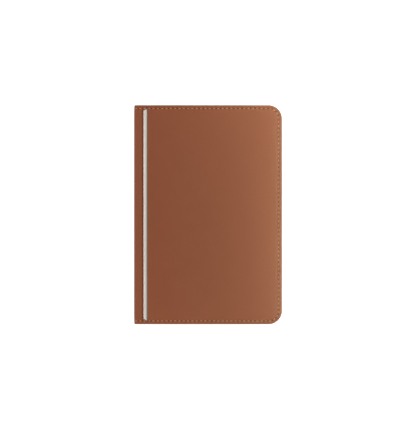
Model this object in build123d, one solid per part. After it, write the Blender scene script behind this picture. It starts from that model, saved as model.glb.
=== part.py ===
"""A six-inch e-reader in a stitched leather folio, closed and lying on its back.

Frame, in millimetres: +X runs from the spine to the opening edge, +Y runs up the page
and +Z out of the front cover. The origin is the middle of the folio's back face, on
the surface it lies on. Every function below makes one node, and NODES lists them all.
"""

import os

from build123d import *

# ---- Folio: overall size and the layers of its covers ----------------------------
COVER_W = 112.5
COVER_H = 166.6
COVER_CORNER_R = 10.2
LEATHER = 0.9
BOARD = 1.2
LINING = 0.5
COVER_T = LEATHER + BOARD + LINING
SPINE_BOARD = 0.6
SPINE_T = LEATHER + SPINE_BOARD + LINING
SPINE_EDGE_R = 1.8
COVER_EDGE_R = 0.7

# ---- Front fold: the bar beside it, and the soft strip that bends -----------------
BAND_W = 9.7  # leather band left of the fold, from the spine's outer face
CREASE_W = 0.7  # soft strip between the band and the front cover
CREASE_SINK = 0.25  # how far the strip lies below the leather on each side
FOLD_T = 1.4  # leather and lining alone, where nothing stiffens the fold
FOLD_CLEAR = 1.4  # flat of the front cover beside the fold that has no board
BAR_W = 2.4
BAR_T = 1.25
BAR_SINK = 0.05
BAR_END = 2.75  # from the cover's end to the bar's longer edge
BAR_MITRE = 1.25  # how much shorter the bar's other edge is, at each end
BAR_BEVEL_H = 0.3
BAR_BEVEL_TILT = 62  # the bevel's lean away from upright, in degrees
BAR_GROOVE = 1.1  # open groove left of the bar

# ---- E-reader: outside -----------------------------------------------------------
READER_W = 106.0
READER_H = 159.6
READER_T = 7.8
READER_CORNER_R = 9.0
READER_X = 0.4  # its middle, right of the folio's middle by the spine's share
SHELL = 1.2
BACK_EDGE_R = 1.6
FRONT_EDGE_R = 1.2
BEZEL_T = 1.4
BEZEL_PLATE = 0.8
RIB_T = 0.8
RIB_H = 1.0
FIT_GAP = 0.05

# ---- Tray that holds the e-reader on the back cover --------------------------------
BOND_T = 0.3
TRAY_T = 1.2
TRAY_FLOOR = 1.0
TRAY_RIM_BELOW = 0.2  # the rim stops this far below the e-reader's face
COVER_GAP = 0.3  # air between the e-reader's face and the closed cover
NOTCH_LEFT, NOTCH_RIGHT = -9.0, 33.0
NOTCH_SILL = 1.1  # tray wall left standing under the notch, above the e-reader's back
NOTCH_R = 1.5
NOTCH_REACH = 3.0  # how far the notch is cut in past the e-reader's lower edge
TRAY_EDGE_R = 1.0
BOND_INSET = 6.0

# ---- Display stack -----------------------------------------------------------------
ACTIVE_W, ACTIVE_H = 90.6, 122.4
ACTIVE_Y = 10.6
WINDOW_MARGIN = 0.4
WINDOW_R, WINDOW_BEVEL = 0.6, 0.3
PANEL_W, PANEL_H = 99.6, 138.4
PANEL_Y = 5.2
PANEL_T = 0.9
GUIDE_T = 0.4
GLASS_T = 0.4
GUIDE_INSET = 3.0  # room for the light strip between the panel's and the guide's lower edges
GLASS_INSET = 0.6  # the glass stops this far above the guide's lower edge
LED_W, LED_D, LED_COUNT, LED_PITCH = 3.0, 0.8, 8, 11.0
LED_TAPE_T = 0.15
LED_TAPE_H, LED_TAPE_DROP = 2.8, 0.9
FLEX_W, FLEX_T, FLEX_BEND_R = 24.0, 0.15, 0.5
FLEX_DROP, FLEX_TAIL = 2.1, 1.5  # from the panel's lower edge down to the bend, up to its tip
FLEX_LIFT = 0.6
FLEX_SLOT_W = 28.0
FLEX_SLOT_LOW, FLEX_SLOT_HIGH = 3.4, 0.8
MIDFRAME_T = 0.8
MIDFRAME_INSET = 2.3

# ---- Board, battery, port and button -------------------------------------------------
BATTERY_W, BATTERY_H, BATTERY_T = 78.0, 80.0, 2.8
BATTERY_Y = 26.0
TAPE_T = 0.2
TAPE_W, TAPE_X, TAPE_SHORT = 12.0, 24.0, 8.0
CELL_EDGE_R = 1.0
FOLD_H, FOLD_THICK, FOLD_SHORT = 3.0, 1.6, 8.0  # folded edge with the protection board
WIRE_R, WIRE_PITCH, WIRE_BEND_R = 0.4, 1.2, 1.0
PLUG_X, PLUG_DROP = -20.0, 10.0
PCB_W, PCB_T = 86.0, 0.8
PCB_TOP_Y, PCB_BOTTOM_Y = -20.0, -77.2
PCB_STANDOFF = 1.2
PCB_CORNER_R = 1.5
PCB_PORT_GAP = 0.1
PCB_BOSS_GAP = 1.0
CHASSIS_X, CHASSIS_Y = 46.0, (-74.0, 5.0, 73.0)
CHASSIS_SCREWS = [(sx * CHASSIS_X, y) for sx in (-1, 1) for y in CHASSIS_Y]
BOARD_SCREWS = [(sx * 39.0, y) for sx in (-1, 1) for y in (-70.0, -26.0)]
BOSS_R = 2.2
SHANK_R, SHANK_CLEAR = 0.75, 0.05
SCREW_HEAD_R, SCREW_HEAD_T = 1.4, 0.5
SCREW_HEAD_EDGE_R, HEAD_CLEAR = 0.15, 0.1
DRIVER_R, DRIVER_DEPTH = 0.45, 0.3
CHASSIS_TIP, BOARD_TIP = 0.6, 0.1  # how far the tips stay above the casing's floor
SHIELD_T = 0.2
SHIELD_H = 1.15
SHIELD_R = 0.8
PROCESSOR_CAN, RADIO = (-8.0, -42.0), (28.0, -34.0)  # middles, from the e-reader's own
CHIP_T, RADIO_T = 0.8, 0.7
CONNECTOR_H, PLUG_H, RIBBON_SOCKET_H = 1.1, 3.0, 2.8
SENSOR_X, KEEPER_X = 41.0, 49.0
ANTENNA_LEFT, ANTENNA_RIGHT, ANTENNA_T = -20.0, 14.0, 0.2
ANTENNA_LOW, ANTENNA_HIGH = 0.4, 3.0
PORT_W, PORT_H, PORT_DEPTH = 8.94, 3.26, 7.3
PORT_WALL = 0.3
PORT_SOCKET = 6.2
TONGUE_W, TONGUE_T, TONGUE_L = 6.7, 0.7, 4.4
PORT_RECESS = 0.2
PORT_GAP_W, PORT_GAP_H = 0.16, 0.1  # how much wider and taller the casing's opening is
TONGUE_BEVEL = 0.15
BUTTON_X = 22.0
BUTTON_W, BUTTON_H = 9.0, 2.6
BUTTON_PROUD = 0.4
BUTTON_CLEAR = 0.1
BUTTON_TRAVEL = 0.3
BUTTON_EDGE_R = 0.3
FLANGE_W, FLANGE_H, FLANGE_T = 11.0, 3.1, 0.6
SWITCH_W, SWITCH_D, SWITCH_H = 4.7, 2.2, 1.2
PLUNGER_W, PLUNGER_H = 2.4, 0.7
PLUNGER_L = 1.45  # from the key's flange to the switch
PLUNGER_REACH = 0.3  # how far the plunger stands inside the switch at rest
MAGNET_W, MAGNET_L, MAGNET_T = 3.0, 14.0, 1.0
KEEPER_T = 1.5
MAGNET_INSET, WAKE_MAGNET_INSET = 5.0, 12.0  # from the opening edge to a magnet's middle
MAGNET_Y, WAKE_Y = 40.0, 48.0

# ---- Levels and edges that follow from the sizes above -------------------------------
LEFT, RIGHT = -COVER_W / 2, COVER_W / 2
TOP_Y = COVER_H / 2
TRAY_Z = COVER_T + BOND_T
READER_Z = TRAY_Z + TRAY_FLOOR
READER_TOP = READER_Z + READER_T
COVER_Z = READER_TOP + COVER_GAP
FOLIO_T = COVER_Z + COVER_T
BAND_RIGHT = LEFT + BAND_W
COVER_LEFT = BAND_RIGHT + CREASE_W
FOLD_X = (BAND_RIGHT + COVER_LEFT) / 2
BAR_LEFT = BAND_RIGHT - BAR_W
BAR_Z = FOLIO_T - BAR_SINK - BAR_T
FLOOR_Z = READER_Z + SHELL
SEAM_Z = READER_TOP - BEZEL_T
GLASS_Z = READER_TOP - BEZEL_PLATE - GLASS_T
GUIDE_Z = GLASS_Z - GUIDE_T
PANEL_Z = GUIDE_Z - PANEL_T
MIDFRAME_Z = PANEL_Z - MIDFRAME_T
PCB_Z = FLOOR_Z + PCB_STANDOFF
PCB_TOP = PCB_Z + PCB_T
READER_BOTTOM_Y = -READER_H / 2
INNER_BOTTOM_Y = READER_BOTTOM_Y + SHELL
PANEL_BOTTOM_Y = PANEL_Y - PANEL_H / 2
GUIDE_BOTTOM_Y = PANEL_BOTTOM_Y + GUIDE_INSET
PORT_Z = FLOOR_Z + PORT_H / 2 + FIT_GAP / 2
BUTTON_Z = PORT_Z
FLANGE_Y = INNER_BOTTOM_Y + FIT_GAP
SWITCH_Y = FLANGE_Y + FLANGE_T + PLUNGER_L


# ---- Shared shapes -------------------------------------------------------------------
def slab(x0, x1, y0, y1, z0, z1):
    """A box between two corners."""
    centre = Pos((x0 + x1) / 2, (y0 + y1) / 2, (z0 + z1) / 2)
    return centre * Box(x1 - x0, y1 - y0, z1 - z0)


def block(x, y, z0, width, depth, height):
    """A box centred on x and y that stands on z0."""
    return Pos(x, y, z0 + height / 2) * Box(width, depth, height)


def plate(outline, z0, z1):
    """A flat outline made solid between two heights."""
    return extrude(Pos(0, 0, z0) * outline, z1 - z0)


def post(x, y, z0, z1, radius):
    """An upright cylinder."""
    return Pos(x, y, (z0 + z1) / 2) * Cylinder(radius, z1 - z0)


def cover_outline(left, inset=0.0):
    """A cover seen from the front: square at the spine, round at the opening edge."""
    width = RIGHT - inset - left
    face = Pos(left + width / 2, 0) * Rectangle(width, COVER_H - 2 * inset)
    return fillet(face.vertices().sort_by(Axis.X)[-2:], COVER_CORNER_R - inset)


def reader_outline(grow=0.0):
    """The e-reader seen from the front, grown or shrunk all round."""
    width, height = READER_W + 2 * grow, READER_H + 2 * grow
    return Pos(READER_X, 0) * RectangleRounded(width, height, READER_CORNER_R + grow)


def fillet_at(part, z, radius):
    """Rounds the edges that lie flat at one height."""
    edges = part.edges().filter_by_position(Axis.Z, z - 0.001, z + 0.001)
    return fillet(edges, radius)


def reader_block():
    """The e-reader's outer shape, solid, with its rounded front and back edges."""
    body = plate(reader_outline(), READER_Z, READER_TOP)
    return fillet_at(fillet_at(body, READER_Z, BACK_EDGE_R), READER_TOP, FRONT_EDGE_R)


def slot_through(width, height, x, z, y0, y1):
    """A round-ended slot that runs along Y."""
    face = Plane(origin=(x, y0, z), x_dir=(1, 0, 0), z_dir=(0, 1, 0))
    return extrude(face * SlotOverall(width, height), y1 - y0)


def bar_outline(left, end):
    """The bar seen from the front: its ends slope, and its edge at the fold is longer."""
    long_end, short_end = TOP_Y - end, TOP_Y - end - BAR_MITRE
    corners = [
        (left, -short_end),
        (BAND_RIGHT, -long_end),
        (BAND_RIGHT, long_end),
        (left, short_end),
    ]
    return make_face(Polyline(*corners, close=True))


# ---- Folio: the half that stays on the table -------------------------------------------
def folio_wrap():
    """Back cover, spine and front band as one thick C, before its layers are parted."""
    back = plate(cover_outline(LEFT), 0, COVER_T)
    spine = slab(LEFT, LEFT + SPINE_T, -TOP_Y, TOP_Y, 0, FOLIO_T)
    band = slab(LEFT, BAND_RIGHT, -TOP_Y, TOP_Y, COVER_Z, FOLIO_T)
    wrap = back + spine + band
    long_edges = wrap.edges().filter_by(Axis.Y)
    outer = [e for e in long_edges if e.center().X < LEFT + 0.01]
    wrap = fillet(outer, SPINE_EDGE_R)
    rim = wrap.edges().filter_by_position(Axis.Z, -0.001, 0.001)
    round_part = [e for e in rim if e.center().X > LEFT + SPINE_EDGE_R + 0.01]
    return fillet(round_part, COVER_EDGE_R)


def wrap_hollow():
    """What the leather wraps round: boards and lining, open to the inside."""
    end = TOP_Y - LEATHER
    inside = LEFT + LEATHER
    back = plate(cover_outline(inside, LEATHER), LEATHER, COVER_T)
    spine = slab(inside, LEFT + SPINE_T, -end, end, LEATHER, FOLIO_T - LEATHER)
    band = slab(inside, BAND_RIGHT, -end, end, COVER_Z, FOLIO_T - LEATHER)
    return back + spine + band


def folio_leather():
    """One piece of leather: back, spine and front band, with a window for the bar."""
    window = plate(bar_outline(BAR_LEFT - BAR_GROOVE, BAR_END), COVER_Z + LINING, FOLIO_T)
    return folio_wrap() - wrap_hollow() - window


def back_board():
    """Stiffener of the back cover."""
    left = LEFT + SPINE_T + LINING
    return plate(cover_outline(left, LEATHER), LEATHER, LEATHER + BOARD)


def spine_board():
    """Stiffener of the spine, which stops short of both folds."""
    end = TOP_Y - LEATHER
    left = LEFT + LEATHER
    return slab(left, left + SPINE_BOARD, -end, end, COVER_T, COVER_Z)


def band_board():
    """Stiffener under the front band, hollowed to seat the bar."""
    end = TOP_Y - LEATHER
    left = LEFT + SPINE_T
    board = slab(left, BAND_RIGHT, -end, end, COVER_Z + LINING, FOLIO_T - LEATHER)
    return board - plate(bar_outline(BAR_LEFT, BAR_END), BAR_Z, FOLIO_T)


def folio_lining():
    """Microfibre lining inside the back cover, the spine and the band, in one piece."""
    end = TOP_Y - LEATHER
    spine_left = LEFT + LEATHER + SPINE_BOARD
    back = plate(cover_outline(spine_left, LEATHER), COVER_T - LINING, COVER_T)
    spine = slab(spine_left, LEFT + SPINE_T, -end, end, COVER_T - LINING, COVER_Z + LINING)
    band = slab(spine_left, BAND_RIGHT, -end, end, COVER_Z, COVER_Z + LINING)
    return back + spine + band


def hinge_bar():
    """Metal bar along the fold, with sloping ends and wide, low bevels all round."""
    outline = bar_outline(BAR_LEFT, BAR_END)
    shoulder = BAR_Z + BAR_T - BAR_BEVEL_H
    crown = extrude(Pos(0, 0, shoulder) * outline, BAR_BEVEL_H, taper=BAR_BEVEL_TILT)
    return plate(outline, BAR_Z, shoulder) + crown


def crease_hinge():
    """Soft strip of leather and lining that bends when the front cover opens."""
    low, high = FOLIO_T - FOLD_T, FOLIO_T - CREASE_SINK
    return slab(BAND_RIGHT, COVER_LEFT, -TOP_Y, TOP_Y, low, high)


# ---- Folio: the front cover ---------------------------------------------------------------
def cover_leather():
    """Outer leather of the front cover, turned in round its board."""
    body = plate(cover_outline(COVER_LEFT), COVER_Z, FOLIO_T)
    rim = body.edges().filter_by_position(Axis.Z, FOLIO_T - 0.001, FOLIO_T + 0.001)
    body = fillet([e for e in rim if e.center().X > COVER_LEFT + 0.01], COVER_EDGE_R)
    end = TOP_Y + 1
    thin = slab(COVER_LEFT, COVER_LEFT + FOLD_CLEAR, -end, end, 0, FOLIO_T - FOLD_T)
    inside = cover_outline(COVER_LEFT + LEATHER, LEATHER)
    return body - thin - plate(inside, COVER_Z, FOLIO_T - LEATHER)


def cover_board():
    """Stiffener of the front cover, with pockets for the magnets."""
    left = COVER_LEFT + FOLD_CLEAR + LINING
    board = plate(cover_outline(left, LEATHER), COVER_Z + LINING, FOLIO_T - LEATHER)
    return board - magnet_blocks(FIT_GAP)


def cover_lining():
    """Microfibre lining of the front cover, stepped where it runs out to the fold."""
    z0, z1 = COVER_Z, COVER_Z + LINING
    fold_z0, fold_z1 = FOLIO_T - FOLD_T, FOLIO_T - LEATHER
    step = COVER_LEFT + FOLD_CLEAR
    end = TOP_Y - LEATHER
    flat = plate(cover_outline(step, LEATHER), z0, z1)
    riser = slab(step, step + LINING, -end, end, z0, fold_z1)
    fold = slab(COVER_LEFT + LEATHER, step, -end, end, fold_z0, fold_z1)
    return flat + riser + fold


def magnet_blocks(grow=0.0):
    """Two closing magnets near the opening edge and one that wakes the e-reader."""
    edge = RIGHT - MAGNET_INSET
    places = [(edge, MAGNET_Y), (edge, -MAGNET_Y), (RIGHT - WAKE_MAGNET_INSET, -WAKE_Y)]
    z0 = COVER_Z + LINING + (BOARD - MAGNET_T) / 2 - grow
    size = (MAGNET_W + 2 * grow, MAGNET_L + 2 * grow, MAGNET_T + 2 * grow)
    return Part() + [block(x, y, z0, *size) for x, y in places]


# ---- Tray ---------------------------------------------------------------------------------
def tray_bond():
    """Adhesive sheet between the tray and the back cover's lining."""
    return plate(reader_outline(-BOND_INSET), COVER_T, TRAY_Z)


def reader_tray():
    """Clip-on tray: its rim curls over the e-reader's rounded edge."""
    rim_z = READER_TOP - TRAY_RIM_BELOW
    body = fillet_at(plate(reader_outline(TRAY_T), TRAY_Z, rim_z), TRAY_Z, TRAY_EDGE_R)
    sill = READER_Z + NOTCH_SILL
    width, height = NOTCH_RIGHT - NOTCH_LEFT, 2 * (READER_TOP - sill)
    face = Plane(origin=((NOTCH_LEFT + NOTCH_RIGHT) / 2, -TOP_Y, READER_TOP),
                 x_dir=(1, 0, 0), z_dir=(0, 1, 0))
    reach = TOP_Y - READER_H / 2 + NOTCH_REACH
    notch = extrude(face * RectangleRounded(width, height, NOTCH_R), reach)
    return body - reader_block() - notch


# ---- E-reader: casing ------------------------------------------------------------------------
def rear_housing():
    """Back shell with its screw bosses, port opening and button slot."""
    above = slab(LEFT, RIGHT, -TOP_Y, TOP_Y, SEAM_Z, FOLIO_T)
    shell = reader_block() - above - plate(reader_outline(-SHELL), FLOOR_Z, SEAM_Z)
    for x, y in CHASSIS_SCREWS:
        shell += post(READER_X + x, y, FLOOR_Z, MIDFRAME_Z, BOSS_R)
        shell -= post(READER_X + x, y, FLOOR_Z, MIDFRAME_Z, SHANK_R + SHANK_CLEAR)
    for x, y in BOARD_SCREWS:
        shell += post(READER_X + x, y, FLOOR_Z, PCB_Z, BOSS_R)
        shell -= post(READER_X + x, y, FLOOR_Z, PCB_Z, SHANK_R + SHANK_CLEAR)
    wall = (READER_BOTTOM_Y - 1, INNER_BOTTOM_Y + 0.5)
    shell -= slot_through(PORT_W + PORT_GAP_W, PORT_H + PORT_GAP_H, READER_X, PORT_Z, *wall)
    width, height = BUTTON_W + 2 * BUTTON_CLEAR, BUTTON_H + 2 * BUTTON_CLEAR
    return shell - slot_through(width, height, READER_X + BUTTON_X, BUTTON_Z, *wall)


def front_bezel():
    """Front frame with the display window and a rib that locates it in the back shell."""
    below = slab(LEFT, RIGHT, -TOP_Y, TOP_Y, 0, SEAM_Z)
    frame = reader_block() - below
    frame -= plate(reader_outline(-SHELL), SEAM_Z, READER_TOP - BEZEL_PLATE)
    outer = reader_outline(-SHELL - FIT_GAP)
    inner = reader_outline(-SHELL - FIT_GAP - RIB_T)
    frame += plate(outer - inner, SEAM_Z - RIB_H, READER_TOP - BEZEL_PLATE)
    width, height = ACTIVE_W + 2 * WINDOW_MARGIN, ACTIVE_H + 2 * WINDOW_MARGIN
    window = Pos(READER_X, ACTIVE_Y) * RectangleRounded(width, height, WINDOW_R)
    frame -= plate(window, SEAM_Z, READER_TOP)
    lip = frame.edges().filter_by_position(Axis.Z, READER_TOP - 0.001, READER_TOP + 0.001)
    inner_lip = [e for e in lip if abs(e.center().X - READER_X) <= width / 2 + 0.01
                 and abs(e.center().Y - ACTIVE_Y) <= height / 2 + 0.01]
    return chamfer(inner_lip, WINDOW_BEVEL)


def midframe():
    """Stiff metal plate that carries the display, screwed to the back shell."""
    sheet = plate(reader_outline(-MIDFRAME_INSET), MIDFRAME_Z, PANEL_Z)
    for x, y in CHASSIS_SCREWS:
        sheet -= post(READER_X + x, y, MIDFRAME_Z, PANEL_Z, SHANK_R + SHANK_CLEAR)
        sink = PANEL_Z - SCREW_HEAD_T - FIT_GAP
        sheet -= post(READER_X + x, y, sink, PANEL_Z, SCREW_HEAD_R + HEAD_CLEAR)
    half = FLEX_SLOT_W / 2
    low, high = PANEL_BOTTOM_Y - FLEX_SLOT_LOW, PANEL_BOTTOM_Y - FLEX_SLOT_HIGH
    return sheet - slab(READER_X - half, READER_X + half, low, high, MIDFRAME_Z, PANEL_Z)


def screws(places, seat_z, tip_z, head_t):
    """Pan-head screws whose heads sit on one level."""
    made = Part()
    for x, y in places:
        made += post(READER_X + x, y, tip_z, seat_z, SHANK_R)
        head = post(READER_X + x, y, seat_z, seat_z + head_t, SCREW_HEAD_R)
        top = head.edges().filter_by_position(Axis.Z, seat_z + head_t - 0.001, FOLIO_T)
        head = fillet(top, SCREW_HEAD_EDGE_R)
        driver = RegularPolygon(DRIVER_R, 6)
        socket_z = seat_z + head_t - DRIVER_DEPTH
        made += head - plate(Pos(READER_X + x, y) * driver, socket_z, FOLIO_T)
    return made


def chassis_screws():
    """Screws through the midframe into the back shell's tall bosses."""
    seat_z = PANEL_Z - SCREW_HEAD_T - FIT_GAP
    return screws(CHASSIS_SCREWS, seat_z, FLOOR_Z + CHASSIS_TIP, SCREW_HEAD_T)


def board_screws():
    """Screws through the main board into its low bosses."""
    return screws(BOARD_SCREWS, PCB_TOP, FLOOR_Z + BOARD_TIP, SCREW_HEAD_T)


# ---- E-reader: display -----------------------------------------------------------------------
def touch_glass():
    """Matt cover sheet with the touch grid, under the bezel."""
    height = PANEL_Y + PANEL_H / 2 - GUIDE_BOTTOM_Y - GLASS_INSET
    y = GUIDE_BOTTOM_Y + GLASS_INSET + height / 2
    return block(READER_X, y, GLASS_Z, PANEL_W, height, GLASS_T)


def light_guide():
    """Clear sheet that spreads the front light over the page."""
    height = PANEL_Y + PANEL_H / 2 - GUIDE_BOTTOM_Y
    return block(READER_X, GUIDE_BOTTOM_Y + height / 2, GUIDE_Z, PANEL_W, height, GUIDE_T)


def light_strip():
    """Side-shining LEDs on their tape, along the light guide's lower edge."""
    y = GUIDE_BOTTOM_Y - FIT_GAP - LED_D / 2
    half = (LED_COUNT - 1) / 2
    places = [READER_X + (i - half) * LED_PITCH for i in range(LED_COUNT)]
    leds = [block(x, y, GUIDE_Z, LED_W, LED_D, GUIDE_T) for x in places]
    length = LED_PITCH * LED_COUNT
    tape_y = y - LED_TAPE_DROP
    return block(READER_X, tape_y, GLASS_Z, length, LED_TAPE_H, LED_TAPE_T) + leds


def epaper_panel():
    """Electronic-paper module."""
    return block(READER_X, PANEL_Y, PANEL_Z, PANEL_W, PANEL_H, PANEL_T)


def display_flex():
    """Ribbon from the display, down through the midframe's slot to its connector."""
    y, high, low = PANEL_BOTTOM_Y, PANEL_Z + PANEL_T / 2, PCB_TOP + FLEX_LIFT
    bend_y = y - FLEX_DROP
    route = [(y, high), (bend_y, high), (bend_y, low), (y + FLEX_TAIL, low)]
    path = FilletPolyline(*[(READER_X, py, pz) for py, pz in route], radius=FLEX_BEND_R)
    ribbon = Plane(origin=path @ 0, x_dir=(1, 0, 0), z_dir=path % 0)
    return sweep(ribbon * Rectangle(FLEX_W, FLEX_T), path=path)


# ---- E-reader: power and electronics -----------------------------------------------------------
def battery():
    """Lithium pouch cell with the folded edge of its protection board."""
    cell = block(READER_X, BATTERY_Y, FLOOR_Z + TAPE_T, BATTERY_W, BATTERY_H, BATTERY_T)
    cell = fillet(cell.edges().filter_by(Axis.Y), CELL_EDGE_R)
    y, width = BATTERY_Y - BATTERY_H / 2 - FOLD_H / 2, BATTERY_W - FOLD_SHORT
    return cell + block(READER_X, y, FLOOR_Z + TAPE_T, width, FOLD_H, FOLD_THICK)


def battery_tape():
    """Two strips of stretch tape that hold the battery down."""
    length = BATTERY_H - TAPE_SHORT
    strips = [block(READER_X + sx * TAPE_X, BATTERY_Y, FLOOR_Z, TAPE_W, length, TAPE_T)
              for sx in (-1, 1)]
    return Part() + strips


def battery_lead():
    """Three insulated wires from the battery to its plug on the board."""
    start_y = BATTERY_Y - BATTERY_H / 2 - FOLD_H
    low, high = FLOOR_Z + TAPE_T + FOLD_THICK / 2, PCB_TOP + CONNECTOR_H / 2
    wires = Part()
    for i in (-1, 0, 1):
        x = READER_X + PLUG_X + WIRE_PITCH * i
        plug_y = start_y + FOLD_H - PLUG_DROP
        route = [(x, start_y, low), (x, start_y - 0.8, low),
                 (x, start_y - 2.4, high), (x, plug_y, high)]
        path = FilletPolyline(*route, radius=WIRE_BEND_R)
        wires += sweep(Plane(origin=path @ 0, z_dir=path % 0) * Circle(WIRE_R), path=path)
    return wires


def main_board():
    """Circuit board, notched round the port."""
    middle = (PCB_TOP_Y + PCB_BOTTOM_Y) / 2
    board = block(READER_X, middle, PCB_Z, PCB_W, PCB_TOP_Y - PCB_BOTTOM_Y, PCB_T)
    board = fillet(board.edges().filter_by(Axis.Z), PCB_CORNER_R)
    depth = READER_BOTTOM_Y + PORT_RECESS + PORT_DEPTH + PCB_PORT_GAP
    half = PORT_W / 2 + PCB_PORT_GAP
    board -= slab(READER_X - half, READER_X + half, -TOP_Y, depth, PCB_Z, PCB_TOP)
    for x, y in BOARD_SCREWS:
        board -= post(READER_X + x, y, PCB_Z, PCB_TOP, SHANK_R + SHANK_CLEAR)
    for sx in (-1, 1):
        x, y = READER_X + sx * CHASSIS_X, CHASSIS_Y[0]
        board -= post(x, y, PCB_Z, PCB_TOP, BOSS_R + PCB_BOSS_GAP)
    return board


def shield(x, y, width, depth):
    """Open metal can over the chips that need screening."""
    can = block(x, y, PCB_TOP, width, depth, SHIELD_H)
    can = fillet(can.edges().filter_by(Axis.Z), SHIELD_R)
    hollow = (width - 2 * SHIELD_T, depth - 2 * SHIELD_T, SHIELD_H - SHIELD_T)
    return can - block(x, y, PCB_TOP, *hollow)


def processor_shield():
    """Can over the processor and its memory."""
    return shield(READER_X + PROCESSOR_CAN[0], PROCESSOR_CAN[1], 28, 20)


def radio_shield():
    """Can over the radio."""
    return shield(READER_X + RADIO[0], RADIO[1], 15, 13)


def processor_chips():
    """Processor and memory under their can."""
    x, y = READER_X + PROCESSOR_CAN[0], PROCESSOR_CAN[1]
    return Part() + [block(x - 6, y, PCB_TOP, 12, 12, CHIP_T),
                     block(x + 8, y, PCB_TOP, 8, 11, CHIP_T)]


def radio_chip():
    """Radio chip under its can."""
    return block(READER_X + RADIO[0], RADIO[1], PCB_TOP, 6, 6, RADIO_T)


def board_parts():
    """Storage, power chip, coils and capacitors on the open part of the board."""
    places = [(-32, -46, 10, 11.5, 0.9), (16, -62, 5, 5, 0.8), (24, -58, 4, 4, 1.1),
              (30, -58, 4, 4, 1.1), (24, -52, 3, 3, 1.0), (30, -52, 3, 3, 1.0)]
    small = [(8 + 2.2 * i, -56, 1.6, 0.8, 0.7) for i in range(5)]
    small += [(-30 + 2.2 * i, -60, 1.6, 0.8, 0.7) for i in range(6)]
    return Part() + [block(READER_X + x, y, PCB_TOP, w, d, h) for x, y, w, d, h in places + small]


def board_connectors():
    """Sockets for the display ribbon and the battery plug."""
    ribbon_y = PANEL_BOTTOM_Y + FLEX_TAIL + RIBBON_SOCKET_H / 2
    lead_y = BATTERY_Y - BATTERY_H / 2 - PLUG_DROP - PLUG_H / 2
    return Part() + [block(READER_X, ribbon_y, PCB_TOP, FLEX_W + 2, RIBBON_SOCKET_H, 0.9),
                     block(READER_X + PLUG_X, lead_y, PCB_TOP, 5, PLUG_H, CONNECTOR_H)]


def sleep_sensor():
    """Magnetic sensor that feels the cover close."""
    return block(READER_X + SENSOR_X, -WAKE_Y, PCB_TOP, 1.3, 2.9, 1.0)


def antenna():
    """Aerial on the inside of the top wall."""
    left, right = READER_X + ANTENNA_LEFT, READER_X + ANTENNA_RIGHT
    wall = READER_H / 2 - SHELL
    low, high = FLOOR_Z + ANTENNA_LOW, FLOOR_Z + ANTENNA_HIGH
    return slab(left, right, wall - ANTENNA_T, wall, low, high)


def keeper_magnets():
    """Two magnets in the e-reader that the cover's magnets find."""
    z = MIDFRAME_Z - KEEPER_T
    x = READER_X + KEEPER_X
    return Part() + [block(x, sy * MAGNET_Y, z, MAGNET_W, MAGNET_L, KEEPER_T) for sy in (-1, 1)]


# ---- E-reader: port and button --------------------------------------------------------------------
def usb_shell():
    """Stamped shell of the charging port."""
    front = READER_BOTTOM_Y + PORT_RECESS
    outer = slot_through(PORT_W, PORT_H, READER_X, PORT_Z, front, front + PORT_DEPTH)
    width, height = PORT_W - 2 * PORT_WALL, PORT_H - 2 * PORT_WALL
    return outer - slot_through(width, height, READER_X, PORT_Z, front, front + PORT_SOCKET)


def usb_tongue():
    """Contact tongue inside the charging port."""
    back = READER_BOTTOM_Y + PORT_RECESS + PORT_SOCKET
    half = TONGUE_W / 2
    z0 = PORT_Z - TONGUE_T / 2
    tongue = slab(READER_X - half, READER_X + half, back - TONGUE_L, back, z0, z0 + TONGUE_T)
    front = tongue.edges().filter_by(Axis.X).sort_by(Axis.Y)[:2]
    return chamfer(front, TONGUE_BEVEL)


def power_button():
    """Key cap in the bottom edge, with a flange that keeps it in."""
    x = READER_X + BUTTON_X
    cap = slot_through(BUTTON_W, BUTTON_H, x, BUTTON_Z, READER_BOTTOM_Y - BUTTON_PROUD, FLANGE_Y)
    front = cap.edges().filter_by_position(Axis.Y, -TOP_Y, READER_BOTTOM_Y - BUTTON_PROUD + 0.001)
    cap = fillet(front, BUTTON_EDGE_R)
    return cap + slot_through(FLANGE_W, FLANGE_H, x, BUTTON_Z, FLANGE_Y, FLANGE_Y + FLANGE_T)


def switch_plunger():
    """Plunger of the power switch, which the key pushes."""
    x, z = READER_X + BUTTON_X, PCB_TOP + SWITCH_H / 2
    half = PLUNGER_W / 2
    y0, y1 = FLANGE_Y + FLANGE_T, SWITCH_Y + PLUNGER_REACH
    return slab(x - half, x + half, y0, y1, z - PLUNGER_H / 2, z + PLUNGER_H / 2)


def switch_body():
    """Case of the power switch on the board, hollow where the plunger goes in."""
    x, z = READER_X + BUTTON_X, PCB_TOP + SWITCH_H / 2
    body = block(x, SWITCH_Y + SWITCH_D / 2, PCB_TOP, SWITCH_W, SWITCH_D, SWITCH_H)
    half_w, half_h = PLUNGER_W / 2 + FIT_GAP, PLUNGER_H / 2 + FIT_GAP
    depth = SWITCH_Y + PLUNGER_REACH + 2 * BUTTON_TRAVEL
    return body - slab(x - half_w, x + half_w, SWITCH_Y, depth, z - half_h, z + half_h)


NODES = [
    folio_leather, back_board, spine_board, band_board, folio_lining, hinge_bar,
    crease_hinge, cover_leather, cover_board, cover_lining, tray_bond, reader_tray,
    rear_housing, front_bezel, midframe, chassis_screws, touch_glass, light_guide,
    light_strip, epaper_panel, display_flex, battery, battery_tape, battery_lead,
    main_board, board_screws, processor_shield, processor_chips, radio_shield,
    radio_chip, board_parts, board_connectors, sleep_sensor, antenna, keeper_magnets,
    usb_shell, usb_tongue, power_button, switch_plunger, switch_body,
]


def main():
    os.makedirs("parts", exist_ok=True)
    for make in NODES:
        export_step(make(), f"parts/{make.__name__}.step")
    export_step(magnet_blocks(), "parts/cover_magnets.step")
    print("fold axis x, z:", FOLD_X, FOLIO_T)


main()
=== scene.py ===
import math
from bisect import bisect_right

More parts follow.
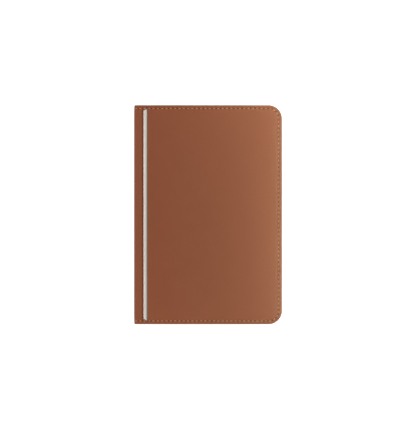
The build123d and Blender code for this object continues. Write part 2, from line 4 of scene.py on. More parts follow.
import bmesh
import bpy
from mathutils import Matrix, Vector


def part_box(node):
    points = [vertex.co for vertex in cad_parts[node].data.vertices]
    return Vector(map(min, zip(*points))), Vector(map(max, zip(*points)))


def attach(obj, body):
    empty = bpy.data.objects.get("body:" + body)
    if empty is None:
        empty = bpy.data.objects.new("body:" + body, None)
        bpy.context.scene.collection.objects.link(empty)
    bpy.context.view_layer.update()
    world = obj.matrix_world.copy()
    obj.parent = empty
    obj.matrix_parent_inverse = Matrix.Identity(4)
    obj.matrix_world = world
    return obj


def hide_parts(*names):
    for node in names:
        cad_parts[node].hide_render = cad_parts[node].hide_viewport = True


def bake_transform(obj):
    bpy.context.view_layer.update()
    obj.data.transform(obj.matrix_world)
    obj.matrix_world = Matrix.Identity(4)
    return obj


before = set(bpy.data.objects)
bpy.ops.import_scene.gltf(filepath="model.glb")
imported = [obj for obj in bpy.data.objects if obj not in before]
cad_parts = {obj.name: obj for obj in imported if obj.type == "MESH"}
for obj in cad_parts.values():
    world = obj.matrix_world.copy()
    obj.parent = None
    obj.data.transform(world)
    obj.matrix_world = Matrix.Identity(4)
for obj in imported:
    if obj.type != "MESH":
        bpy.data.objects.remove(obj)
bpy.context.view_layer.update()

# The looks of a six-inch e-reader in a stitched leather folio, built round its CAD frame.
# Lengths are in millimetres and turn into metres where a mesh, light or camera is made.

MM = 0.001


def box_mm(node):
    """A CAD node's lowest and highest corners, in millimetres."""
    low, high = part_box(node)
    return low / MM, high / MM


# ---- Sizes that come from the frame ----
FOLIO_LOW, FOLIO_HIGH = box_mm("folio_leather")
COVER_LOW, COVER_HIGH = box_mm("cover_leather")
BAR_LOW, BAR_HIGH = box_mm("hinge_bar")
TOP_Y = FOLIO_HIGH.y
FOLIO_T = FOLIO_HIGH.z
COVER_T = FOLIO_T - COVER_LOW.z
BAND_RIGHT = box_mm("crease_hinge")[0].x
COVER_LEFT = COVER_LOW.x
LINING_Z = box_mm("cover_lining")[0].z

# ---- Leather, as it is worked ----
LEATHER = 0.9
LINING = 0.5
SPINE_T = 2.0  # leather, board and lining together
CORNER_R = 10.2
SPINE_R = 1.8
INNER_R = 0.35  # the spine's bends, on the inner side
LEAN_LENGTH = 3.0  # length beside a bend over which its inner face catches up with its outer one
EDGE_R = 0.75  # turned edge, on the outer side
LIP_R = 0.55  # turned edge, on the inner side
LIP_STEP = 0.06  # the hollow behind the lip stops this far short of the panel's inner face
LIP_WEAR = 0.6
WORN_WIDTH = 0.55  # how far in from the rim the edge is rubbed
BORDER_SINK = 0.14  # the border lies this far below the padded panel
PADDING_RISE = 1.9  # width over which the panel rises from the border
SHOULDER_SINK = 0.3  # how far the leather rolls down beside the fold
SHOULDER_WIDTH = 0.5
PANEL_START = 0.5  # from the stitch line to where the mesh's rows for the panel begin

# ---- Stitch line ----
STITCH_INSET = 2.6
STITCH_PITCH = 3.27
CHANNEL_HALF = 0.5
CHANNEL_SINK = 0.14
HOLE_ALONG = 0.72  # half the length and half the width that a needle hole is pulled to
HOLE_ACROSS = 0.46
HOLE_DEPTH = 0.62
HOLE_REACH = 1.6  # how far the painted shade round a needle hole reaches, in half-sizes of the hole
HOLE_CUTS = (-1, -0.66, -0.33, 0, 0.33, 0.66, 1)  # where the mesh is cut across a hole, in half-sizes
COVER_FIRST_HOLE = -0.5  # just off the leather, so only its rim is cut into the edge
WRAP_FIRST_HOLE = -0.1
FIRST_STITCH = 0.25  # where the first stitch beside the fold comes up
THREAD_R = 0.29
THREAD_PLY = 0.75  # length along the thread from one ply to the next
THREAD_END = 0.22  # from a needle hole's centre to the thread's buried end
THREAD_SEAT = 1.13  # depth of the thread's middle below the leather's face, in radii
DIVE_START = 0.25  # the thread is down in its hole up to here
DIVE_LENGTH = 0.75  # and has come up so much further on
DIVE_DEPTH = 0.75
THREAD_PINCH = 0.25  # share of its radius that the thread loses in the hole
THREAD_SLANT = 0.07
THREAD_WIDTH = 1.15  # the thread lies a little flat
PLY_BULGE = 0.10
THREAD_RINGS = 25
THREAD_POINTS = 10

# ---- The bar's recess ----
RECESS_DEPTH = 0.85
GROOVE_WIDTH = 1.35  # of the recess left of the bar
GROOVE_LEFT = BAR_LOW.x - GROOVE_WIDTH
GROOVE_START = 0.03  # its left wall begins so far in from its left edge
GROOVE_WALL = 0.42  # and goes down over this width
MITRE_LENGTH = 1.25  # how much further from the folio's end the bar's left side stops than its right
MITRE_CLEAR = 0.08  # the recess is longer than the bar by this at each end
END_START = -0.02  # the wall at the recess's end, as for the groove
END_WALL = 0.12
RIDGE_HEIGHT = 0.05  # the leather is pushed up along the groove
RIDGE_PLACE = -0.45  # from the groove's left edge
RIDGE_WIDTH = 0.22
RIDGE_FADE = 1.0  # length over which the ridge dies away at the recess's end

# ---- The fold ----
SLIT_DEPTH = 0.8  # from the folio's face down to the strip between the leathers, at the band
CREASE_LAP = 0.12  # how far the strip runs in under both leathers, and stops short at its ends
CREASE_T = 0.32
CREASE_RISE = 0.35  # from the band to the cover
CREASE_SAG = 0.12
CREASE_STEPS = 14
CREASE_END_SHADE = 0.55  # how dark the painted shade at the strip's ends is
LINING_LAP = 0.05  # how far the lining runs out over the leather's turned edge
LINING_INSET = LEATHER - LINING_LAP
LINING_SETBACK = 1.4  # from the cover leather's left edge to its lining's
LINING_LEFT = COVER_LEFT + LINING_SETBACK
FOLD_LINING_T = 0.22

# ---- Where the meshes are cut ----
FLAT_STEP = 1.0
STEP_STRETCH = 1.6  # a gap longer than this many steps is divided
CLOSEST_CUT = 0.03
MERGED = 1e-4  # edges shorter than this are closed up
NEAR = 0.01  # heights this close count as the same


def smooth(t):
    """A ramp from 0 to 1 with soft ends."""
    t = min(1.0, max(0.0, t))
    return t * t * (3 - 2 * t)


# ---- Rim paths ----
MIRROR = Vector((1, -1, 1))


class Station:
    """A place on a panel's stitch line: a point, and the ways to the panel's middle and inner face."""

    def __init__(self, along, point, inward, through, line=0.0):
        self.along = along
        self.rim = point - inward * line
        self.inward = inward
        self.through = through

    def at(self, inset, depth):
        """The point so far in from the rim and so far down from the outer face."""
        return self.rim + self.inward * inset + self.through.normalized() * depth

    def mirrored(self):
        """The same place on the other long half of the panel."""
        return Station(self.along, self.rim * MIRROR, self.inward * MIRROR, self.through)


def corner_path(left, z, through, corner_r, line, right):
    """Stations of a flat panel: along the top from left, round the corner, down to the middle."""
    flat = right - corner_r - left
    radius = corner_r - line
    bend = radius * math.pi / 2
    centre = Vector((right - corner_r, TOP_Y - (FOLIO_HIGH.x - right) - corner_r, z))

    def station(s):
        if s <= flat:
            out = Vector((0, 1, 0))
            point = Vector((left + s, centre.y + radius, z))
        elif s < flat + bend:
            angle = math.pi / 2 - (s - flat) / radius
            out = Vector((math.cos(angle), math.sin(angle), 0))
            point = centre + out * radius
        else:
            out = Vector((1, 0, 0))
            point = Vector((centre.x + radius, centre.y - (s - flat - bend), z))
        return Station(s, point, -out, through, line)

    return station, flat + bend + centre.y


def lean(gap):
    """How far the inner face runs ahead of the outer one, from 1 at a bend to 0 well away from it."""
    return max(0.0, 1 - gap / LEAN_LENGTH)


def wrap_path():
    """Stations of the folio's leather: along the band, round the spine, then the back panel."""
    x0, x1 = FOLIO_LOW.x, FOLIO_LOW.x + SPINE_R
    band = BAND_RIGHT - x1
    arc = SPINE_R * math.pi / 2
    spine = FOLIO_T - 2 * SPINE_R
    inner_x = FOLIO_LOW.x + SPINE_T + INNER_R
    inner_z = COVER_T + INNER_R
    slide_x, slide_z = inner_x - x1, inner_z - SPINE_R
    inward = Vector((0, -1, 0))
    back, back_length = corner_path(
        x1, 0.0, Vector((0, 0, COVER_T)), CORNER_R, STITCH_INSET, FOLIO_HIGH.x)

    def bent(s, start, outer_centre_z, inner_centre_z):
        angle = start + s / SPINE_R
        way = Vector((math.cos(angle), 0, math.sin(angle)))
        rim = Vector((x1, TOP_Y, outer_centre_z)) + way * SPINE_R
        return rim, Vector((inner_x, TOP_Y, inner_centre_z)) + way * INNER_R - rim

    def station(s):
        if s < band:
            rim = Vector((BAND_RIGHT - s, TOP_Y, FOLIO_T))
            through = Vector((slide_x * lean(band - s), 0, -COVER_T))
        elif s < band + arc:
            rim, through = bent(s - band, math.pi / 2, FOLIO_T - SPINE_R, FOLIO_T - inner_z)
        elif s < band + arc + spine:
            done = s - band - arc
            rim = Vector((x0, TOP_Y, FOLIO_T - SPINE_R - done))
            through = Vector((SPINE_T, 0, slide_z * (lean(spine - done) - lean(done))))
        elif s < band + 2 * arc + spine:
            rim, through = bent(s - band - arc - spine, math.pi, SPINE_R, inner_z)
        else:
            done = s - band - 2 * arc - spine
            made = back(done)
            made.along = s
            made.through = Vector((slide_x * lean(done), 0, COVER_T))
            return made
        return Station(s, rim, inward, through)

    return station, band + 2 * arc + spine + back_length, band + 2 * arc + spine


def hole_places(length, first):
    """Needle holes along a path, evenly spaced so that one falls at its end."""
    count = round((length - first) / STITCH_PITCH)
    pitch = (length - first) / count
    return [first + k * pitch for k in range(count + 1)]


def sample_places(length, holes, extra):
    """Where a rim is cut: finely round each hole, at the extra places, and evenly between."""
    fine = [h + HOLE_ALONG * f for h in holes for f in HOLE_CUTS]
    wanted = sorted(s for s in fine + extra + [0.0, length] if 0 <= s <= length)
    places = []
    for s in wanted:
        if places and s - places[-1] < CLOSEST_CUT:
            continue
        if places and s - places[-1] > STEP_STRETCH * FLAT_STEP:
            parts = math.ceil((s - places[-1]) / FLAT_STEP)
            start = places[-1]
            places += [start + (s - start) * k / parts for k in range(1, parts)]
        places.append(s)
    places[-1] = length
    return places


def nearest_gap(value, sorted_values):
    """The distance to the nearest of some sorted values."""
    i = bisect_right(sorted_values, value)
    return min(abs(value - v) for v in sorted_values[max(0, i - 1):i + 1])


# ---- Relief of the outer face ----
def channel_relief(inset, line):
    """Depth of the shallow channel that the stitches lie in."""
    gap = abs(inset - line) / CHANNEL_HALF
    return CHANNEL_SINK * (1 + math.cos(math.pi * gap)) / 2 if gap < 1 else 0.0


def hole_relief(along, inset, line, holes):
    """Depth of the needle holes."""
    gap = math.hypot(nearest_gap(along, holes) / HOLE_ALONG, (inset - line) / HOLE_ACROSS)
    return HOLE_DEPTH * (1 - gap * gap) if gap < 1 else 0.0


def border_relief(inset):
    """Depth of the turned edge and of the border outside the padded panel."""
    if inset < EDGE_R:
        return BORDER_SINK + EDGE_R - math.sqrt(EDGE_R ** 2 - (EDGE_R - inset) ** 2)
    start = STITCH_INSET + CHANNEL_HALF / 2
    return BORDER_SINK * (1 - smooth((inset - start) / PADDING_RISE))


def shoulder_relief(gap):
    """Depth of leather that rolls down into the fold, by its distance from there."""
    return SHOULDER_SINK * (1 - smooth(gap / SHOULDER_WIDTH))


def recess_end(x):
    """How far from the folio's end the bar's recess begins, which follows the sloping bar."""
    slope = (BAR_HIGH.x - max(x, BAR_LOW.x)) / (BAR_HIGH.x - BAR_LOW.x)
    tip = TOP_Y - BAR_HIGH.y
    return tip - MITRE_CLEAR + MITRE_LENGTH * slope


def recess_relief(x, inset):
    """Depth of the recess that the bar and its groove lie in, less the ridge beside it."""
    side = x - GROOVE_LEFT
    edge = inset - recess_end(x)
    ridge = RIDGE_HEIGHT * math.exp(-((side - RIDGE_PLACE) / RIDGE_WIDTH) ** 2)
    side_wall = smooth((side - GROOVE_START) / GROOVE_WALL)
    end_wall = smooth((edge - END_START) / END_WALL)
    return RECESS_DEPTH * min(side_wall, end_wall) - ridge * smooth(edge / RIDGE_FADE)


# ---- Leather shells ----
EDGE_ANGLES = (0, 18, 36, 54, 72, 90)
LIP_ANGLES = (90, 68, 45, 22, 0)
BORDER_CUT = 1.3
CHANNEL_CUT = -1.18  # in half-widths of a hole, as the hole's own cuts are
PANEL_CUTS = (0.0, 0.06, 0.12, 0.35, 0.8, 1.5, 2.2)  # from where the panel, or the recess, begins
EDGE_INSETS = [EDGE_R * (1 - math.cos(math.radians(a))) for a in EDGE_ANGLES]
STITCH_INSETS = [STITCH_INSET + HOLE_ACROSS * f for f in (CHANNEL_CUT, *HOLE_CUTS)]
LIP = [(LIP_R * (1 - math.cos(math.radians(a))), LIP_R * (1 - math.sin(math.radians(a))))
       for a in LIP_ANGLES]


def mesh_object(name, bm, material, smooth_faces=True):
    """Turns a bmesh in millimetres into an object with one material."""
    bmesh.ops.recalc_face_normals(bm, faces=bm.faces[:])
    for vert in bm.verts:
        vert.co *= MM
    for face in bm.faces:
        face.smooth = smooth_faces
    mesh = bpy.data.meshes.new(name)
    bm.to_mesh(mesh)
    bm.free()
    mesh.materials.append(material)
    piece = bpy.data.objects.new(name, mesh)
    bpy.context.scene.collection.objects.link(piece)
    return piece


def shell(name, material, stations, profile, flat_from):
    """A closed skin from one profile of points per station, for a panel mirrored about y = 0.

    profile(station) lists points from the inner face, round the rim and onto the outer face, each
    with a 0-1 mark of how worn it is and one of how much painted shade it takes. From flat_from on, both
    faces lie flat.
    """
    bm = bmesh.new()
    wear = bm.verts.layers.float.new("wear")
    painted_shade = bm.verts.layers.float.new("painted_shade")
    grid = []
    for station in stations + [s.mirrored() for s in reversed(stations[:-1])]:
        column = []
        for point, worn, hole_shade in profile(station):
            vert = bm.verts.new(point)
            vert[wear] = worn
            vert[painted_shade] = hole_shade
            column.append(vert)
        grid.append(column)
    last = len(grid) - 1
    for a, b in zip(grid, grid[1:]):
        for i in range(len(a) - 1):
            bm.faces.new((a[i], a[i + 1], b[i + 1], b[i]))
    for row in (0, -1):
        for i in range(flat_from):
            left, right = grid[i:i + 2]
            left_twin, right_twin = grid[last - i], grid[last - i - 1]
            bm.faces.new((left[row], right[row], right_twin[row], left_twin[row]))
        bm.faces.new([grid[i][row] for i in range(flat_from, last - flat_from + 1)])
    cap = bm.faces.new(grid[0] + grid[-1][::-1])
    for edge in cap.edges:
        edge.smooth = False
    bmesh.ops.dissolve_degenerate(bm, dist=MERGED, edges=bm.edges[:])
    return mesh_object(name, bm, material)


def leather_profile(holes, extra_relief, row_start):
    """The profile of turned leather: hollow behind, lip, rounded edge, border, stitches, panel."""
    def profile(station):
        thickness = station.through.length
        # How much painted shade the needle holes lay on this station.
        hole_shade_mark = smooth(HOLE_REACH - nearest_gap(station.along, holes) / HOLE_ALONG)
        points = [(station.at(LEATHER, LEATHER), 0.0, 0.0),
                  (station.at(LEATHER, thickness - LIP_STEP), 0.0, 0.0)]
        points += [(station.at(inset, thickness - depth), LIP_WEAR, 0.0) for inset, depth in LIP]
        start = row_start(station)
        insets = EDGE_INSETS + [BORDER_CUT] + STITCH_INSETS + [start + d for d in PANEL_CUTS]
        for inset in insets:
            hole = hole_relief(station.along, inset, STITCH_INSET, holes)
            depth = border_relief(inset) + channel_relief(inset, STITCH_INSET) + hole
            depth = extra_relief(station, inset, depth)
            worn = 1 - smooth(inset / WORN_WIDTH)
            near = smooth(HOLE_REACH - abs(inset - STITCH_INSET) / HOLE_ACROSS)
            points.append((station.at(inset, depth), worn, hole_shade_mark * near))
        return points
    return profile


def cover_relief(station, inset, depth):
    """The front cover's leather also rolls down into the fold at its left."""
    x = station.at(inset, 0).x
    return max(depth, shoulder_relief(x - COVER_LEFT))


def wrap_relief(station, inset, depth):
    """The band also rolls down into the fold, and holds the bar's recess. Spine and back do not."""
    point = station.at(inset, 0)
    if station.through.z > -COVER_T + NEAR:
        return depth
    recess = recess_relief(point.x, inset)
    rolled = max(depth, shoulder_relief(BAND_RIGHT - point.x))
    return max(rolled, recess) if recess > 0 else rolled + recess


# ---- Stitches ----
def stitch(bm, path, mirrored, start, end, line, rise):
    """One twisted two-ply stitch from one needle hole to the next."""
    previous = None
    for k in range(THREAD_RINGS):
        t = k / (THREAD_RINGS - 1)
        s = start + THREAD_END + (end - start - 2 * THREAD_END) * t
        station = path(s).mirrored() if mirrored else path(s)
        dive = 1 - smooth((min(s - start, end - s) - DIVE_START) / DIVE_LENGTH)
        across = station.inward * THREAD_WIDTH
        down = station.through.normalized()
        depth = THREAD_SEAT * THREAD_R - rise + DIVE_DEPTH * dive
        centre = station.at(line + THREAD_SLANT * (2 * t - 1), depth)
        ring = []
        for j in range(THREAD_POINTS):
            angle = 2 * math.pi * j / THREAD_POINTS
            twist = 2 * angle - 2 * math.pi * s / THREAD_PLY
            radius = THREAD_R * (1 - THREAD_PINCH * dive) * (1 + PLY_BULGE * math.cos(twist))
            ring.append(bm.verts.new(centre + radius * (across * math.cos(angle) + down * math.sin(angle))))
        if previous:
            for j in range(THREAD_POINTS):
                n = (j + 1) % THREAD_POINTS
                bm.faces.new((previous[j], previous[n], ring[n], ring[j]))
        else:
            bm.faces.new(ring)
        previous = ring
    bm.faces.new(previous[::-1])


def stitches(bm, path, holes, line, rise=0.0):
    """A stitch between each pair of needle holes, along both long halves of a panel."""
    for mirrored in (False, True):
        for start, end in zip(holes, holes[1:]):
            stitch(bm, path, mirrored, start, end, line, rise)


# ---- Materials ----
NOISE_RANGE = (0.3, 0.7)  # what most of a noise texture's values lie between
NOISE_ROUGHNESS = 0.55
PAINTED_SHEEN = (0.995, 1.30, 1.40)  # painted sheen, paler and less saturated: the leather's colour near the free edge, over its colour at the fold
PAINTED_EDGE_SHEEN = (1.03, 1.70, 1.95)  # painted highlight: the same, stronger, on the free edge itself
PAGE_CENTRE = (0.4, 10.6)  # the page is what the bezel's window shows, less a narrow rim
PAGE_HALF = (45.0, 60.9)
PAGE_RIM = 0.15


class Finish:
    """A Principled material and short ways to add nodes to it. Its coordinates are in millimetres."""

    def __init__(self, name):
        self.material = bpy.data.materials.new(name)
        self.material.use_nodes = True
        self.tree = self.material.node_tree
        self.shader = self.tree.nodes["Principled BSDF"]
        coordinates = self.tree.nodes.new("ShaderNodeTexCoord").outputs["Object"]
        scale = self.add("VectorMath", operation="SCALE")
        self.link(coordinates, scale.inputs[0])
        scale.inputs["Scale"].default_value = 1 / MM
        self.place = scale.outputs[0]

    def add(self, kind, **settings):
        node = self.tree.nodes.new("ShaderNode" + kind)
        for key, value in settings.items():
            setattr(node, key, value)
        return node

    def link(self, source, target):
        self.tree.links.new(source, target)

    def stretched(self, scale):
        """Coordinates squeezed along each axis, for grain with a direction."""
        node = self.add("VectorMath", operation="MULTIPLY")
        self.link(self.place, node.inputs[0])
        node.inputs[1].default_value = scale
        return node.outputs[0]

    def axis(self, letter):
        """One coordinate in millimetres."""
        split = self.add("SeparateXYZ")
        self.link(self.place, split.inputs[0])
        return split.outputs[letter]

    def noise(self, size, detail, stretch=None):
        """Noise from 0 to 1 whose features are about size millimetres across."""
        node = self.add("TexNoise")
        self.link(self.stretched(stretch) if stretch else self.place, node.inputs["Vector"])
        node.inputs["Scale"].default_value = 1 / size
        node.inputs["Detail"].default_value = detail
        node.inputs["Roughness"].default_value = NOISE_ROUGHNESS
        return node.outputs["Fac"]

    def patches(self, size, detail, to_low=0.0, to_high=1.0):
        """Noise whose usual range is spread over two values."""
        return self.remap(self.noise(size, detail), *NOISE_RANGE, to_low, to_high)

    def cells(self, size):
        """Pebbled cells about size millimetres across: 0 on their edges and more towards their middles."""
        node = self.add("TexVoronoi", feature="DISTANCE_TO_EDGE")
        self.link(self.place, node.inputs["Vector"])
        node.inputs["Scale"].default_value = 1 / size
        return node.outputs["Distance"]

    def attribute(self, name):
        """A number that the mesh holds at each vertex."""
        return self.add("Attribute", attribute_name=name).outputs["Fac"]

    def remap(self, value, low, high, to_low=0.0, to_high=1.0):
        """A value between two limits, spread evenly over two others."""
        node = self.add("MapRange")
        for key, number in zip(("From Min", "From Max", "To Min", "To Max"), (low, high, to_low, to_high)):
            node.inputs[key].default_value = number
        self.link(value, node.inputs["Value"])
        return node.outputs["Result"]

    def math(self, operation, a, b=0.0):
        """An operation on one or two values, each a number or a socket."""
        node = self.add("Math", operation=operation)
        for socket, value in zip(node.inputs, (a, b)):
            if isinstance(value, (int, float)):
                socket.default_value = value
            else:
                self.link(value, socket)
        return node.outputs[0]

    def mix(self, factor, a, b, blend="MIX"):
        """Two colours mixed, each an (r, g, b) or a socket."""
        node = self.add("Mix", data_type="RGBA", blend_type=blend)
        colours = [s for s in node.inputs if s.type == "RGBA"]
        for socket, value in zip(colours, (a, b)):
            if isinstance(value, tuple):
                socket.default_value = (*value, 1)
            else:
                self.link(value, socket)
        target = node.inputs[0]
        if isinstance(factor, (int, float)):
            target.default_value = factor
        else:
            self.link(factor, target)
        return next(s for s in node.outputs if s.type == "RGBA")

    def bump(self, height, depth, under=None):
        """Adds relief of some depth in millimetres, over any relief already there."""
        node = self.add("Bump")
        node.inputs["Distance"].default_value = depth * MM
        self.link(height, node.inputs["Height"])
        if under:
            self.link(under, node.inputs["Normal"])
        self.link(node.outputs["Normal"], self.shader.inputs["Normal"])
        return node.outputs["Normal"]

    def set(self, **values):
        """Sets the shader's inputs, named with underscores for spaces, to numbers, colours or sockets."""
        for key, value in values.items():
            socket = self.shader.inputs[key.replace("_", " ")]
            if isinstance(value, tuple):
                socket.default_value = (*value, 1)
            elif isinstance(value, (int, float)):
                socket.default_value = value
            else:
                self.link(value, socket)
        return self


def leather_material(name, base, edge, shade_tint):
    """Smooth leather with fine pebbled grain and faint mottling, and painted sheen that makes it paler
    towards the free edge.

    Rubbed edges take the edge colour, and marked places such as needle holes get painted shade: the colour
    multiplied by the shade tint's factors.
    """
    f = Finish(name)
    dark = tuple(0.88 * c for c in base)
    light = tuple(1.12 * c for c in base)
    sheen_colour = tuple(c * k for c, k in zip(base, PAINTED_SHEEN))
    edge_sheen_colour = tuple(c * k for c, k in zip(base, PAINTED_EDGE_SHEEN))
    colour = f.mix(f.patches(11, 5), dark, light)
    colour = f.mix(0.65, colour, base)
    # Painted sheen: paler and less saturated towards the free edge, with a painted highlight on the edge
    # itself.
    colour = f.mix(f.remap(f.axis("X"), -35, 45), colour, sheen_colour)
    colour = f.mix(f.remap(f.axis("X"), 46, 54, 0.0, 0.5), colour, edge_sheen_colour)
    colour = f.mix(f.patches(0.9, 3, 0.0, 0.4), colour, dark)
    colour = f.mix(f.math("MULTIPLY", f.attribute("wear"), 0.5), colour, edge)
    # Painted shade where the mesh marks it: in needle holes, and at the fold strip's ends.
    shaded_colour = f.mix(1.0, colour, shade_tint, "MULTIPLY")
    colour = f.mix(f.math("MULTIPLY", f.attribute("painted_shade"), 0.88), colour, shaded_colour)
    pebbles = f.bump(f.remap(f.cells(0.42), 0.0, 0.28), 0.012)
    pores = f.bump(f.patches(0.16, 2), 0.008, pebbles)
    f.bump(f.noise(9, 2), 0.06, pores)
    rough = f.patches(2.5, 4, 0.46, 0.56)
    return f.set(Base_Color=colour, Roughness=rough, Specular_IOR_Level=0.25,
                 Specular_Tint=(1.0, 0.62, 0.40)).material


def thread_material():
    """Waxed golden-tan thread with fine fibres, with painted sheen that makes it paler towards the free
    edge.
    """
    f = Finish("waxed_thread")
    fleck = f.patches(0.35, 3)
    waxed = f.mix(fleck, (0.235, 0.094, 0.035), (0.35, 0.152, 0.061))
    # Painted sheen: the paler thread colours that take over towards the free edge.
    sheened = f.mix(fleck, (0.212, 0.101, 0.041), (0.318, 0.163, 0.071))
    colour = f.mix(f.remap(f.axis("X"), -35, 50), waxed, sheened)
    f.bump(f.noise(0.07, 2), 0.02)
    return f.set(Base_Color=colour, Roughness=0.6, Specular_IOR_Level=0.3, Sheen_Weight=0.15).material


def lining_material():
    """Brushed microfibre: short nap that lies in soft, faint patches."""
    f = Finish("microfibre")
    nap = f.mix(f.patches(7, 5), (0.108, 0.087, 0.073), (0.128, 0.105, 0.090))
    colour = f.mix(f.patches(0.22, 3, 0, 0.45), nap, (0.075, 0.059, 0.049))
    # Painted shade in the needle holes.
    colour = f.mix(f.math("MULTIPLY", f.attribute("painted_shade"), 0.8), colour, (0.03, 0.025, 0.02))
    fibres = f.bump(f.noise(0.12, 3), 0.05)
    f.bump(f.noise(1.6, 3), 0.03, fibres)
    return f.set(Base_Color=colour, Roughness=0.95, Specular_IOR_Level=0.12, Sheen_Weight=0.3,
                 Sheen_Roughness=0.5).material


def metal_material(name, colour, rough, brush=(1, 1, 1)):
    """Satin metal; brush is how much its grain is squeezed along each axis."""
    f = Finish(name)
    grain = f.noise(0.12, 3, brush)
    tint = tuple(c * 0.88 for c in colour)
    shade = f.mix(f.remap(grain, *NOISE_RANGE, 0, 0.6), colour, tint)
    f.bump(grain, 0.004)
    return f.set(Base_Color=shade, Metallic=1.0,
                 Roughness=f.remap(grain, *NOISE_RANGE, rough - 0.06, rough + 0.08)).material


def plastic_material(name, colour, rough=0.5, grain=0.25, depth=0.015, specular=0.4):
    """Moulded plastic with a fine spark-eroded texture."""
    f = Finish(name)
    light = tuple(min(1.0, c * 1.35 + 0.004) for c in colour)
    shade = f.mix(f.patches(grain * 1.7, 3, 0, 0.5), colour, light)
    f.bump(f.noise(grain, 2), depth)
    gloss = f.patches(4, 2, rough - 0.05, rough + 0.07)
    return f.set(Base_Color=shade, Roughness=gloss, Specular_IOR_Level=specular).material


def page_material():
    """Blank electronic paper behind an anti-glare film, with a darker rim round the page."""
    f = Finish("page_film")
    speckle = f.patches(0.18, 2)
    paper = f.mix(speckle, (0.305, 0.303, 0.280), (0.345, 0.343, 0.318))
    outside = []
    for letter, centre, half in zip("XY", PAGE_CENTRE, PAGE_HALF):
        distance = f.math("ABSOLUTE", f.math("SUBTRACT", f.axis(letter), centre))
        outside.append(f.remap(distance, half, half + PAGE_RIM))
    rim = f.math("MAXIMUM", *outside)
    paper = f.mix(f.math("MULTIPLY", rim, 0.6), paper, (0.18, 0.18, 0.17))
    f.bump(f.noise(0.1, 2), 0.003)
    return f.set(Base_Color=paper, Roughness=0.42, Specular_IOR_Level=0.35).material


def board_material():
    """Green circuit board with tracks and pads."""
    f = Finish("circuit_board")
    tracks = f.remap(f.cells(1.6), 0.05, 0.09)
    colour = f.mix(tracks, (0.02, 0.16, 0.07), (0.012, 0.085, 0.038))
    f.bump(tracks, -0.02)
    return f.set(Base_Color=colour, Roughness=0.35).material


# The last colour of each leather is the tint of its painted shade.
LEATHER_MAT = leather_material("tan_leather", (0.153, 0.0438, 0.0203), (0.135, 0.0375, 0.0150),
                               (0.82, 0.74, 0.66))
FOLD_MAT = leather_material("dyed_fold_leather", (0.150, 0.128, 0.110), (0.05, 0.035, 0.027),
                            (0.12, 0.09, 0.08))
THREAD_MAT = thread_material()
LINING_MAT = lining_material()
BAR_MAT = metal_material("satin_bar", (0.480, 0.440, 0.398), 0.46, brush=(1, 0.02, 1))
PAGE_MAT = page_material()
STEEL = metal_material("plated_steel", (0.55, 0.55, 0.54), 0.3)
CASING = plastic_material("charcoal_casing", (0.020, 0.020, 0.021), rough=0.5, grain=0.2)
TRAY = plastic_material("tray_plastic", (0.040, 0.034, 0.030), rough=0.55, grain=0.3)
CHIP = plastic_material("chip_black", (0.012, 0.012, 0.012), rough=0.55, grain=0.1)
AMBER = plastic_material("amber_film", (0.45, 0.17, 0.03), rough=0.3, grain=0.8, depth=0.002)
ADHESIVE = plastic_material("adhesive", (0.50, 0.50, 0.48), rough=0.6, grain=0.5)
GREYBOARD = plastic_material("greyboard", (0.22, 0.19, 0.16), rough=0.9, grain=0.6, depth=0.05,
                             specular=0.1)
KEY_CAP = plastic_material("key_cap", (0.035, 0.035, 0.036), rough=0.35, grain=0.15)
ACRYLIC = plastic_material("acrylic", (0.75, 0.78, 0.8), rough=0.1, grain=2.0, depth=0.001)
RED_SLEEVE = plastic_material("red_sleeve", (0.35, 0.02, 0.02), rough=0.4)
NODE_MATERIALS = {
    "hinge_bar": BAR_MAT, "touch_glass": PAGE_MAT, "epaper_panel": PAGE_MAT,
    "folio_lining": LINING_MAT, "reader_tray": TRAY, "rear_housing": CASING,
    "front_bezel": CASING, "power_button": KEY_CAP,
    "usb_shell": STEEL, "usb_tongue": CHIP, "chassis_screws": STEEL, "board_screws": STEEL,
    "processor_shield": STEEL, "radio_shield": STEEL, "switch_body": STEEL,
    "midframe": metal_material("stamped_midframe", (0.5, 0.5, 0.51), 0.4),
    "cover_magnets": metal_material("nickel", (0.62, 0.6, 0.56), 0.2),
    "keeper_magnets": metal_material("nickel_keeper", (0.62, 0.6, 0.56), 0.2),
    "battery": metal_material("pouch_foil", (0.6, 0.6, 0.6), 0.35),
    "light_guide": ACRYLIC, "battery_lead": RED_SLEEVE,
    "main_board": board_material(), "battery_tape": ADHESIVE, "tray_bond": ADHESIVE,
    "light_strip": AMBER, "display_flex": AMBER, "antenna": AMBER,
}
for board in ("back_board", "spine_board", "band_board", "cover_board"):
    NODE_MATERIALS[board] = GREYBOARD
for chip in ("processor_chips", "radio_chip", "board_parts", "board_connectors", "sleep_sensor",
             "switch_plunger"):
    NODE_MATERIALS[chip] = CHIP
for node_name, node_material in NODE_MATERIALS.items():
    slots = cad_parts[node_name].data.materials
    slots.clear()
    slots.append(node_material)

# ---- The front cover's leather ----
SHOULDER_STEPS = [0.05, 0.12, 0.2, 0.3, 0.42, 0.55, 0.7, 0.95, 1.3]  # cuts beside the fold
SHOULDER_END = 1.0
cover_path, cover_length = corner_path(
    COVER_LEFT, FOLIO_T, Vector((0, 0, -COVER_T)), CORNER_R, STITCH_INSET, COVER_HIGH.x)
cover_holes = hole_places(cover_length, COVER_FIRST_HOLE)
cover_places = sample_places(cover_length, cover_holes, SHOULDER_STEPS)
cover_flat = bisect_right(cover_places, SHOULDER_END)
cover_skin = shell(
    "cover_leather_skin", LEATHER_MAT, [cover_path(s) for s in cover_places],
    leather_profile(cover_holes, cover_relief, lambda station: STITCH_INSET + PANEL_START), cover_flat)
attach(cover_skin, "front_cover")
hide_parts("cover_leather")

